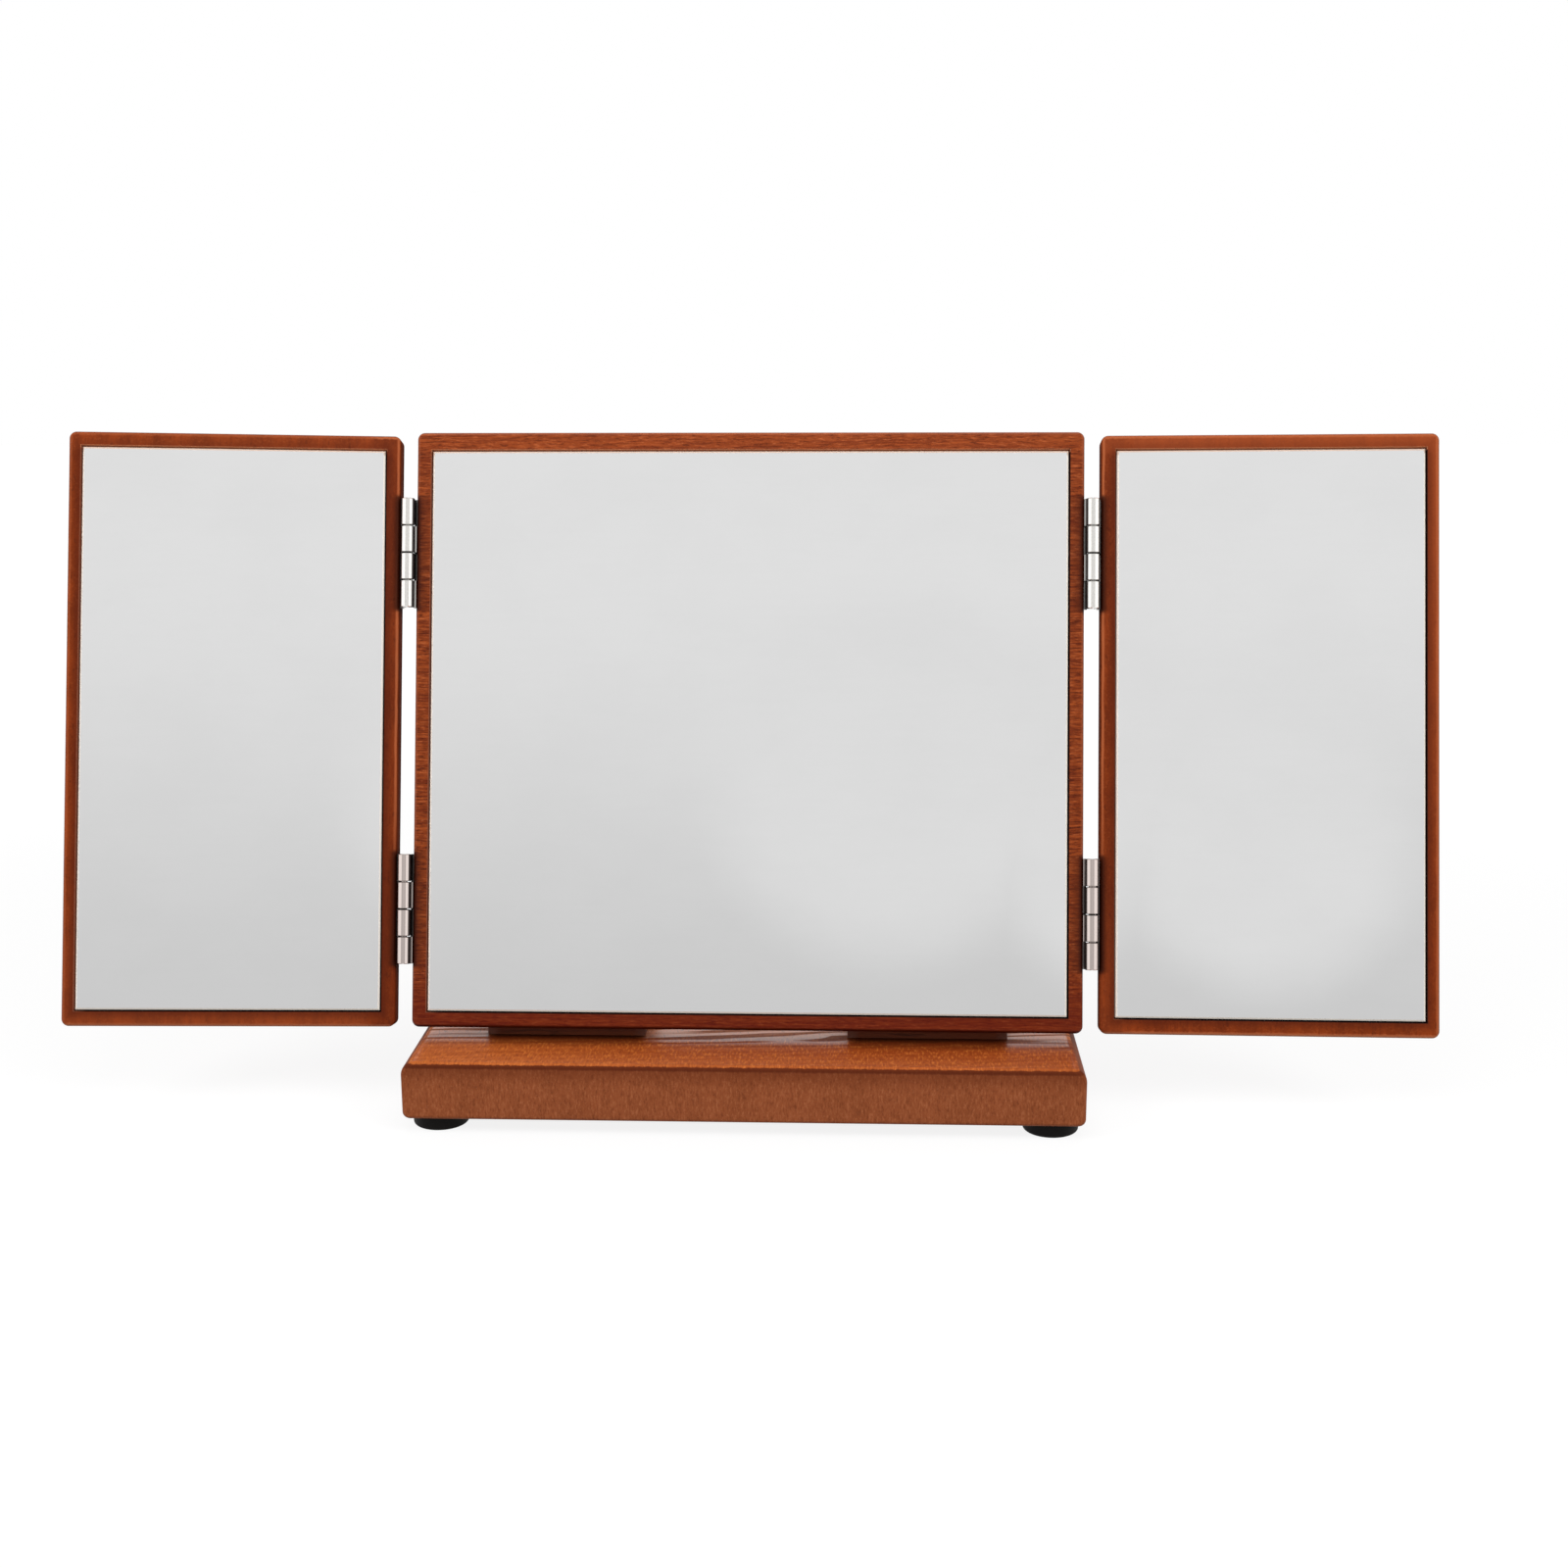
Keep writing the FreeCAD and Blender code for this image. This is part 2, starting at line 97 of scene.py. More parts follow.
# How each wing's colour varies: wear and painted highlight on its outer edge, stain and painted shade by its
# hinges, a lighter top and outer side, and a lighter foot, away from the hinges and below them
wing_tone = {
    "left": {
        "outer_wear_and_highlight": 0.3, "hinge_stain_and_shade": 0.36,
        "top_lighter": 0.12, "outer_lighter": 0.0, "foot_lighter": (0.25, 0.0),
    },
    "right": {
        "outer_wear_and_highlight": 0.6, "hinge_stain_and_shade": 0.10,
        "top_lighter": 0.40, "outer_lighter": 0.55, "foot_lighter": (0.02, 0.16),
    },
}

FLOAT, VECTOR = "NodeSocketFloat", "NodeSocketVector"


def paint(red, green, blue):
    """Linear colour of a swatch that is given as it looks on screen, from 0 to 255."""
    def linear(value):
        share = value / 255
        return share / 12.92 if share <= 0.04045 else ((share + 0.055) / 1.055) ** 2.4
    return (linear(red), linear(green), linear(blue), 1.0)


def grey(level):
    return (level, level, level, 1.0)


class Nodes:
    """Short calls that add nodes to one tree and give back an output socket."""

    def __init__(self, tree):
        self.tree = tree

    def put(self, made, inputs):
        """Links or sets a node's inputs."""
        for key, value in inputs.items():
            if isinstance(value, bpy.types.NodeSocket):
                self.tree.links.new(value, made.inputs[key])
            else:
                made.inputs[key].default_value = value

    def add(self, kind, inputs=None, output=0, **settings):
        made = self.tree.nodes.new(kind)
        for setting, value in settings.items():
            setattr(made, setting, value)
        self.put(made, inputs or {})
        return made.outputs[output] if made.outputs else made

    def math(self, operation, a, b=0.0):
        return self.add("ShaderNodeMath", {0: a, 1: b}, operation=operation)

    def blend(self, factor, a, b):
        """From colour a to colour b."""
        return self.add("ShaderNodeMix", {0: factor, 6: a, 7: b}, 2, data_type="RGBA")

    def tint(self, colour, mask, share, towards):
        """A colour taken towards another by a share of a mask."""
        return self.blend(self.math("MULTIPLY", mask, share), colour, towards)

    def between(self, factor, a, b):
        """From number a to number b."""
        return self.add("ShaderNodeMix", {0: factor, 2: a, 3: b}, data_type="FLOAT")

    def span(self, value, low, high, start=0.0, end=1.0):
        """Where a value lies between low and high, eased at both ends, as a number from start to end."""
        inputs = {"Value": value, "From Min": low, "From Max": high, "To Min": start, "To Max": end}
        return self.add("ShaderNodeMapRange", inputs, interpolation_type="SMOOTHSTEP")

    def band(self, value, start, full, fade, end):
        """1 between full and fade, 0 before start and after end."""
        return self.math("MULTIPLY", self.span(value, start, full), self.span(value, end, fade))

    def scaled(self, vector, x, y, z):
        return self.add("ShaderNodeVectorMath", {0: vector, 1: (x, y, z)}, operation="MULTIPLY")

    def counted(self, vector, unit):
        """A place counted in lengths of one unit, such as a growth ring."""
        return self.scaled(vector, 1 / unit, 1 / unit, 1 / unit)

    def dot(self, vector, direction):
        return self.add("ShaderNodeVectorMath", {0: vector, 1: direction}, "Value", operation="DOT_PRODUCT")

    def length(self, vector):
        return self.add("ShaderNodeVectorMath", {0: vector}, "Value", operation="LENGTH")

    def noise(self, vector, scale, detail=2.0, roughness=0.5):
        inputs = {"Vector": vector, "Scale": scale, "Detail": detail, "Roughness": roughness}
        return self.add("ShaderNodeTexNoise", inputs)

    def axes(self, vector):
        """The three parts of a vector as sockets."""
        return tuple(self.add("ShaderNodeSeparateXYZ", {0: vector}).node.outputs)

    def vector(self, x, y, z):
        return self.add("ShaderNodeCombineXYZ", {0: x, 1: y, 2: z})

    def group(self, tree, inputs):
        """Places a shared effect and gives back its outputs by name."""
        made = self.tree.nodes.new("ShaderNodeGroup")
        made.node_tree = tree
        self.put(made, inputs)
        return {socket.name: socket for socket in made.outputs}


def effect(name, inputs, outputs, build):
    """A shader node group; build takes its nodes and inputs and gives back a value for each output."""
    tree = bpy.data.node_groups.new(name, "ShaderNodeTree")
    for label, kind in inputs.items():
        tree.interface.new_socket(name=label, in_out="INPUT", socket_type=kind)
    for label, kind in outputs.items():
        tree.interface.new_socket(name=label, in_out="OUTPUT", socket_type=kind)
    nodes = Nodes(tree)
    entry = tree.nodes.new("NodeGroupInput")
    results = build(nodes, {label: entry.outputs[label] for label in inputs})
    leave = tree.nodes.new("NodeGroupOutput")
    for label, socket in results.items():
        tree.links.new(socket, leave.inputs[label])
    return tree


# Places of the panels, from the joints: each panel's own frame has X across its face, Y into it and Z up it,
# with the origin half way up it, on the line of its hinge pins.

joints = {joint["name"]: joint for joint in frame["joints"]}
left_pin = Vector(joints["left_wing_hinge"]["pos_m"])
right_pin = Vector(joints["right_wing_hinge"]["pos_m"])
pin_axis = Vector(joints["left_wing_hinge"]["axis"])
pin_reach = (right_pin - left_pin).length / 2
lean = math.atan2(pin_axis.y, pin_axis.z)
closed_fold = 180.0
wing_folds = {
    side: math.radians(closed_fold - joints[f"{side}_wing_hinge"]["range_deg"][1])
    for side in ("left", "right")
}


def panel_frame(origin, fold):
    """Matrix from the part's frame to a panel's own frame."""
    turn = Matrix.Rotation(fold, 4, "Z") @ Matrix.Rotation(lean, 4, "X")
    return turn @ Matrix.Translation(-origin)


panel_frames = {
    "centre": panel_frame((left_pin + right_pin) / 2, 0.0),
    "left": panel_frame(left_pin, -wing_folds["left"]),
    "right": panel_frame(right_pin, wing_folds["right"]),
}


def facing(panel):
    """The direction that a panel's front faces, in the part's frame."""
    return panel_frames[panel].to_3x3().inverted() @ Vector((0.0, -1.0, 0.0))


def span_in(matrix, node):
    """Lowest and highest corner of a node in a panel's own frame."""
    points = [matrix @ vertex.co for vertex in frame["nodes"][node].data.vertices]
    low = Vector([min(point[axis] for point in points) for axis in range(3)])
    high = Vector([max(point[axis] for point in points) for axis in range(3)])
    return low, high


def pieces_with(*words):
    """Names of the pieces whose names have one of these words in them."""
    return [name for name in frame["nodes"] if any(word in name for word in words)]


# Effects that several finishes share


def build_wood_grain(nodes, given):
    """Grain along X, across Y, in units of one growth ring."""
    along, across, deep = nodes.axes(given["Vector"])
    drift = nodes.noise(nodes.scaled(given["Vector"], 0.05, 0.3, 0.3), 1.0, 3.0)
    drift = nodes.math("MULTIPLY", nodes.math("SUBTRACT", drift, 0.5), given["Waviness"])
    place = nodes.math("ADD", across, drift)
    ring = nodes.math("FRACT", place)
    streak_place = nodes.vector(nodes.math("MULTIPLY", along, 0.035), place, deep)
    streak = nodes.noise(nodes.scaled(streak_place, 1.0, 2.4, 2.4), 1.0, 5.0, 0.6)
    pore_place = nodes.vector(nodes.math("MULTIPLY", along, 0.22), nodes.math("MULTIPLY", place, 5.0), deep)
    pore = nodes.span(nodes.noise(pore_place, 1.0, 2.0), 0.50, 0.64)
    crowded = nodes.span(ring, 0.25, 0.85, 0.35, 1.0)
    return {"Streak": streak, "Ring": ring, "Pore": nodes.math("MULTIPLY", pore, crowded)}


def build_board_stain(nodes, given):
    """Uneven stain over pressed board: soft patches, upright fibres, specks and dark pits, in metres."""
    place = given["Vector"]
    patch = nodes.noise(nodes.scaled(place, 120.0, 120.0, 60.0), 1.0, 3.0, 0.6)
    fibre = nodes.noise(nodes.scaled(place, 1700.0, 1700.0, 560.0), 1.0, 3.0, 0.65)
    speck = nodes.noise(place, 1500.0, 3.0, 0.65)
    pit = nodes.span(nodes.noise(nodes.scaled(place, 800.0, 800.0, 360.0), 1.0, 1.0), 0.66, 0.75)
    return {"Patch": patch, "Fibre": fibre, "Speck": speck, "Pit": pit}


def build_handling(nodes, given):
    """Faint smears and wiped patches that change the gloss, in metres."""
    place = given["Vector"]
    smear = nodes.noise(nodes.scaled(place, 22.0, 22.0, 34.0), 1.0, 5.0, 0.62)
    wipe = nodes.noise(nodes.scaled(place, 40.0, 60.0, 420.0), 1.0, 4.0, 0.6)
    return {"Smear": nodes.span(smear, 0.35, 0.72), "Wipe": nodes.span(wipe, 0.40, 0.70)}


def build_panel_zones(nodes, given):
    """How far a point lies in from a panel's outline, and out from its pocket, across the face, in metres."""
    point, low, high, pocket_low, pocket_high = (
        nodes.axes(given[label]) for label in ("Vector", "Low", "High", "Pocket Low", "Pocket High")
    )
    inset, rim = [], []
    for axis in (0, 2):
        inset.append(nodes.math("SUBTRACT", point[axis], low[axis]))
        inset.append(nodes.math("SUBTRACT", high[axis], point[axis]))
        rim.append(nodes.math("SUBTRACT", pocket_low[axis], point[axis]))
        rim.append(nodes.math("SUBTRACT", point[axis], pocket_high[axis]))

    def extreme(operation, values):
        across, upright = nodes.math(operation, *values[:2]), nodes.math(operation, *values[2:])
        return nodes.math(operation, across, upright)

    return {"Inset": extreme("MINIMUM", inset), "Rim": extreme("MAXIMUM", rim)}


wood_grain = effect(
    "wood_grain", {"Vector": VECTOR, "Waviness": FLOAT}, {"Streak": FLOAT, "Ring": FLOAT, "Pore": FLOAT},
    build_wood_grain,
)
board_stain = effect(
    "board_stain", {"Vector": VECTOR}, {"Patch": FLOAT, "Fibre": FLOAT, "Speck": FLOAT, "Pit": FLOAT},
    build_board_stain,
)
handling = effect("handling", {"Vector": VECTOR}, {"Smear": FLOAT, "Wipe": FLOAT}, build_handling)
panel_zones = effect(
    "panel_zones",
    {"Vector": VECTOR, "Low": VECTOR, "High": VECTOR, "Pocket Low": VECTOR, "Pocket High": VECTOR},
    {"Inset": FLOAT, "Rim": FLOAT}, build_panel_zones,
)


def new_finish(name):
    """An empty material with its nodes and its surface shader."""
    material = bpy.data.materials.new(name)
    material.use_nodes = True
    material.node_tree.nodes.clear()
    nodes = Nodes(material.node_tree)
    shader = material.node_tree.nodes.new("ShaderNodeBsdfPrincipled")
    nodes.add("ShaderNodeOutputMaterial", {"Surface": shader.outputs["BSDF"]})
    return material, nodes, shader


def own_place(nodes):
    return nodes.add("ShaderNodeTexCoord", output="Object")


def own_normal(nodes):
    return nodes.add("ShaderNodeTexCoord", output="Normal")


def panel_place(nodes, panel):
    """A point's place in a panel's own frame."""
    matrix = panel_frames[panel]
    inputs = {"Vector": own_place(nodes), "Location": matrix.translation, "Rotation": matrix.to_euler()}
    return nodes.add("ShaderNodeMapping", inputs)


def zones_of(nodes, panel, place):
    """The zones of a panel: its outline, and the pocket that its mirror lies in."""
    matrix = panel_frames[panel]
    low, high = span_in(matrix, f"{panel}_panel")
    glass_low, glass_high = span_in(matrix, f"{panel}_mirror")
    margin = Vector((glass_gap, 0.0, glass_gap))
    return nodes.group(panel_zones, {
        "Vector": place, "Low": low, "High": high,
        "Pocket Low": glass_low - margin, "Pocket High": glass_high + margin,
    })


def beside_hinges(nodes, panel, place, reach_full, reach_end):
    """1 beside a panel's hinges, falling to 0 away from the line of their pins."""
    x, _, z = nodes.axes(place)
    across = nodes.math("ABSOLUTE", x)
    side, leaf = panel, "wing_leaf"
    if panel == "centre":
        side, leaf = "left", "centre_leaf"
        across = nodes.math("SUBTRACT", pin_reach, across)
    beside = 0.0
    fade = 2.0 * MM
    for height in ("upper", "lower"):
        low, high = span_in(panel_frames[panel], f"{side}_{height}_hinge_{leaf}")
        beside = nodes.math("ADD", nodes.band(z, low.z - fade, low.z, high.z, high.z + fade), beside)
    return nodes.math("MULTIPLY", beside, nodes.span(across, reach_end, reach_full))


def relief(nodes, height, depth, strength=1.0):
    return nodes.add("ShaderNodeBump", {"Height": height, "Distance": depth, "Strength": strength})


def shade_before_blocks(nodes, x, y):
    """1 on the base just in front of each support block, for the painted shade that the blocks cast."""
    block_shade = 0.0
    for block in pieces_with("support_block"):
        low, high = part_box(block)
        beside = nodes.band(x, low.x - 2.0 * MM, low.x + 4.0 * MM, high.x - 4.0 * MM, high.x + 3.0 * MM)
        before = nodes.band(y, low.y - 14.0 * MM, low.y - 0.5 * MM, low.y + 5.0 * MM, low.y + 10.0 * MM)
        block_shade = nodes.math("MAXIMUM", block_shade, nodes.math("MULTIPLY", beside, before))
    return block_shade


def base_top(nodes, place, block_shade):
    """Colour of the base's veneer, the pores of its fine grain and the open grooves of its wide grain."""
    x, y, _ = nodes.axes(place)
    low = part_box("base_board")[0]
    panel_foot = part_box("centre_panel")[0].y
    ring_width = 1.9 * MM
    groove_pitch = 4.6 * MM
    grain_slant = math.radians(-6.0)

    slanted = nodes.add("ShaderNodeMapping", {"Vector": place, "Rotation": (0.0, 0.0, grain_slant)})
    grain = nodes.group(wood_grain, {"Vector": nodes.counted(slanted, ring_width), "Waviness": 2.0})
    veneer = nodes.blend(nodes.span(grain["Streak"], 0.3, 0.7), paint(142, 60, 20), paint(166, 78, 29))
    veneer = nodes.tint(veneer, grain["Ring"], 0.2, paint(140, 58, 16))
    veneer = nodes.tint(veneer, grain["Pore"], 0.4, paint(114, 42, 11))
    veneer = nodes.tint(veneer, nodes.span(x, 0.0, low.x), 0.45, paint(206, 110, 48))
    # painted light: the veneer lighter along the base's front, where more light falls
    veneer = nodes.tint(veneer, nodes.span(y, low.y + 14.0 * MM, low.y + 2.0 * MM), 0.2, paint(212, 116, 52))
    # painted shade: a darker band on the veneer just before the panel's foot
    toned = nodes.band(y, panel_foot - 5.0 * MM, panel_foot, panel_foot + 3.0 * MM, panel_foot + 8.0 * MM)
    veneer = nodes.tint(veneer, toned, 0.35, paint(104, 44, 16))
    # painted light: a paler band on the veneer under and behind the panel's foot
    painted_light_under_panel = nodes.band(y, panel_foot + 4.0 * MM, panel_foot + 12.0 * MM, 0.0, 15.0 * MM)
    veneer = nodes.tint(veneer, painted_light_under_panel, 0.85, paint(252, 152, 92))
    fleck = nodes.noise(nodes.scaled(place, 1500.0, 340.0, 340.0), 1.0, 2.0, 0.6)
    veneer = nodes.tint(veneer, nodes.span(fleck, 0.50, 0.68), 0.5, paint(222, 128, 56))
    veneer = nodes.tint(veneer, nodes.span(fleck, 0.48, 0.30), 0.5, paint(118, 46, 14))
    # painted shade before the support blocks
    veneer = nodes.tint(veneer, block_shade, 0.9, paint(60, 22, 8))

    wide_grain = nodes.group(wood_grain, {"Vector": nodes.counted(slanted, groove_pitch), "Waviness": 3.5})
    kept_open = nodes.span(nodes.noise(nodes.scaled(slanted, 26.0, 150.0, 150.0), 1.0, 2.0), 0.30, 0.50)
    groove = nodes.math("MULTIPLY", nodes.band(wide_grain["Ring"], 0.42, 0.62, 0.96, 1.0), kept_open)
    groove = nodes.math("MULTIPLY", groove, nodes.span(y, panel_foot - 6.0 * MM, panel_foot + MM, 0.25, 1.0))
    return nodes.tint(veneer, groove, 0.5, paint(104, 40, 14)), grain["Pore"], groove


def base_edges(nodes, z, stain, corner):
    """Colour of the stained board round the base, darker towards its top and darkest at its front corner."""
    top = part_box("base_board")[1].z
    board = nodes.blend(nodes.span(stain["Patch"], 0.3, 0.7), paint(142, 75, 42), paint(150, 80, 46))
    board = nodes.tint(board, nodes.span(stain["Fibre"], 0.50, 0.72), 0.75, paint(174, 103, 66))
    board = nodes.tint(board, nodes.span(stain["Fibre"], 0.50, 0.28), 0.60, paint(102, 47, 22))
    board = nodes.tint(board, nodes.span(stain["Speck"], 0.55, 0.78), 0.50, paint(180, 112, 76))
    board = nodes.tint(board, nodes.span(z, top - 9.0 * MM, top - 2.0 * MM), 0.5, paint(98, 38, 12))
    return nodes.tint(board, corner, 0.75, paint(84, 29, 8))


def base_coat(nodes, x, y, block_shade, groove):
    """Clear coat on the flat of the base's top, thin in the grooves, in the painted shade before the blocks
    and at the worn front.
    """
    low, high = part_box("base_board")
    half_width = (high.x - low.x) / 2
    block_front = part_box("right_support_block")[0].y
    flat = nodes.span(nodes.dot(own_normal(nodes), (0.0, 0.0, 1.0)), 0.97, 0.998)
    from_middle = nodes.math("ABSOLUTE", nodes.math("SUBTRACT", x, (low.x + high.x) / 2))
    within_ends = nodes.span(from_middle, half_width - 0.8 * MM, half_width - 3.5 * MM)
    marks = nodes.group(handling, {"Vector": own_place(nodes)})
    polish = nodes.between(groove, nodes.span(marks["Smear"], 0.0, 1.0, 1.0, 0.85), 0.04)
    out_of_block_shade = nodes.span(block_shade, 0.0, 1.0, 1.0, 0.1)
    unworn = nodes.span(y, block_front - 10.0 * MM, block_front - 3.0 * MM, 0.3, 1.0)
    coated = flat
    for share in (within_ends, polish, out_of_block_shade, unworn):
        coated = nodes.math("MULTIPLY", coated, share)
    return coated


def base_finish():
    """Veneer under a clear coat that its grain breaks, and stained board round it, dark under a painted
    highlight at its top front edge.
    """
    material, nodes, shader = new_finish("base_veneer")
    place = own_place(nodes)
    x, y, z = nodes.axes(place)
    low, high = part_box("base_board")
    stain = nodes.group(board_stain, {"Vector": place})
    # mask for the painted shade before the support blocks
    block_shade = shade_before_blocks(nodes, x, y)
    veneer, pore, groove = base_top(nodes, place, block_shade)

    fuzz = nodes.noise(place, 700.0, 3.0, 0.7)
    ragged = nodes.math("ADD", nodes.math("MULTIPLY", stain["Fibre"], 0.6), fuzz)
    ragged = nodes.math("MULTIPLY", nodes.math("SUBTRACT", ragged, 0.8), 0.8 * MM)
    below = nodes.math("ADD", nodes.math("SUBTRACT", high.z, z), ragged)
    on_top = nodes.span(below, 0.75 * MM, 0.45 * MM)
    at_front = nodes.span(y, low.y + 3.0 * MM, low.y + 1.6 * MM)
    corner = nodes.math("MULTIPLY", nodes.band(below, 0.5 * MM, 0.8 * MM, 1.7 * MM, 2.5 * MM), at_front)
    # painted highlight: a thin lighter line along the base's top front edge
    highlight_line = nodes.math("MULTIPLY", nodes.band(below, 0.05 * MM, 0.2 * MM, 0.3 * MM, 0.5 * MM), at_front)
    colour = nodes.blend(on_top, base_edges(nodes, z, stain, corner), veneer)
    colour = nodes.tint(colour, highlight_line, 0.15, paint(196, 118, 74))

    sunk = nodes.math("MULTIPLY", nodes.math("ADD", nodes.math("MULTIPLY", pore, 0.3), groove), -1.0)
    surface = nodes.between(on_top, nodes.math("MULTIPLY", stain["Fibre"], 0.8), sunk)
    nodes.put(shader, {
        "Base Color": colour, "Roughness": nodes.span(stain["Fibre"], 0.2, 0.8, 0.5, 0.68),
        "Specular IOR Level": 0.12, "Coat Weight": base_coat(nodes, x, y, block_shade, groove),
        "Coat Roughness": 0.28, "Coat IOR": 1.7, "Normal": relief(nodes, surface, 0.04 * MM),
    })
    return material


def panel_faces(nodes, panel):
    """1 on a panel's front and back, 0 on its edges."""
    turned = nodes.math("ABSOLUTE", nodes.dot(own_normal(nodes), facing(panel)))
    return nodes.span(turned, 0.25, 0.7)


def front_side(nodes, panel, place):
    """1 from a panel's front to the floor of its pocket, 0 behind that."""
    depth = nodes.axes(place)[1]
    glass_back = span_in(panel_frames[panel], f"{panel}_mirror")[1].y
    return nodes.span(depth, glass_back + 2.4 * MM, glass_back + 1.6 * MM)


def edge_tones(nodes, panel, place, zones, colour, dark):
    """Painted shade on a panel's edges, beside its hinges and in its pocket, with painted light at the
    pocket's top and left.
    """
    x, _, z = nodes.axes(place)
    low, high = span_in(panel_frames[panel], f"{panel}_mirror")
    # painted shade on the edge faces, which turn away from the light
    edges = nodes.math("SUBTRACT", 1.0, panel_faces(nodes, panel))
    colour = nodes.tint(colour, edges, 0.5, dark)
    # painted shade beside the hinges, where their barrels block the light
    broad = (3.0 * MM, 9.5 * MM, 0.65) if panel == "centre" else (3.8 * MM, 6.6 * MM, 0.75)
    narrow = (3.4 * MM, 4.9 * MM, 0.95)
    for reach_full, reach_end, share in (broad, narrow):
        colour = nodes.tint(colour, beside_hinges(nodes, panel, place, reach_full, reach_end), share, dark)
    # painted shade in the pocket round the mirror, with painted light towards its left and top
    pocket = nodes.blend(nodes.span(x, low.x + 4.0 * MM, low.x), paint(56, 28, 22), paint(140, 84, 62))
    pocket = nodes.blend(nodes.span(z, high.z - 0.5 * MM, high.z), pocket, paint(206, 136, 98))
    inside = nodes.span(zones["Rim"], 0.10 * MM, 0.0)
    return nodes.tint(colour, inside, front_side(nodes, panel, place), pocket)


def centre_finish():
    """Satin veneer with its grain across the panel, redder towards its foot."""
    material, nodes, shader = new_finish("centre_veneer")
    place = panel_place(nodes, "centre")
    x, y, z = nodes.axes(place)
    zones = zones_of(nodes, "centre", place)
    marks = nodes.group(handling, {"Vector": place})
    low, high = span_in(panel_frames["centre"], "centre_panel")
    ring_width = 1.4 * MM

    grain_place = nodes.counted(nodes.vector(x, z, y), ring_width)
    grain = nodes.group(wood_grain, {"Vector": grain_place, "Waviness": 3.0})
    veneer = nodes.blend(nodes.span(grain["Streak"], 0.3, 0.7), paint(102, 36, 12), paint(158, 73, 30))
    veneer = nodes.tint(veneer, grain["Ring"], 0.28, paint(104, 37, 10))
    veneer = nodes.tint(veneer, grain["Pore"], 0.6, paint(66, 19, 4))
    fleck = nodes.noise(nodes.scaled(place, 330.0, 1500.0, 1900.0), 1.0, 3.0, 0.65)
    veneer = nodes.tint(veneer, nodes.span(fleck, 0.47, 0.32), 0.85, paint(66, 17, 4))
    veneer = nodes.tint(veneer, nodes.span(fleck, 0.54, 0.70), 0.5, paint(194, 104, 58))

    upper = nodes.span(z, high.z - 9.0 * MM, high.z - 5.0 * MM)
    veneer = nodes.tint(veneer, upper, 0.12, paint(190, 88, 36))
    lower = nodes.span(z, low.z + 28.0 * MM, low.z + 3.0 * MM, 0.0, 0.65)
    veneer = nodes.blend(lower, veneer, paint(90, 16, 2))
    # painted sheen: lighter along the panel's outline, above its foot
    painted_edge_sheen = nodes.math("MULTIPLY", nodes.span(zones["Inset"], 1.3 * MM, 0.4 * MM), nodes.span(lower, 0.5, 0.0))
    veneer = nodes.tint(veneer, painted_edge_sheen, 0.4, paint(168, 98, 70))
    # painted shade on the panel's bottom edge
    foot_edge = nodes.span(z, low.z + 1.5 * MM, low.z + 0.4 * MM)
    veneer = nodes.tint(veneer, foot_edge, 0.85, paint(46, 6, 1))
    veneer = edge_tones(nodes, "centre", place, zones, veneer, paint(60, 18, 5))

    faces = panel_faces(nodes, "centre")
    height = nodes.math("SUBTRACT", nodes.math("MULTIPLY", grain["Ring"], 0.3), grain["Pore"])
    nodes.put(shader, {
        "Base Color": veneer, "Specular IOR Level": 0.12,
        "Roughness": nodes.between(faces, 0.6, nodes.span(marks["Smear"], 0.0, 1.0, 0.34, 0.46)),
        "Normal": relief(nodes, height, 0.03 * MM),
    })
    return material


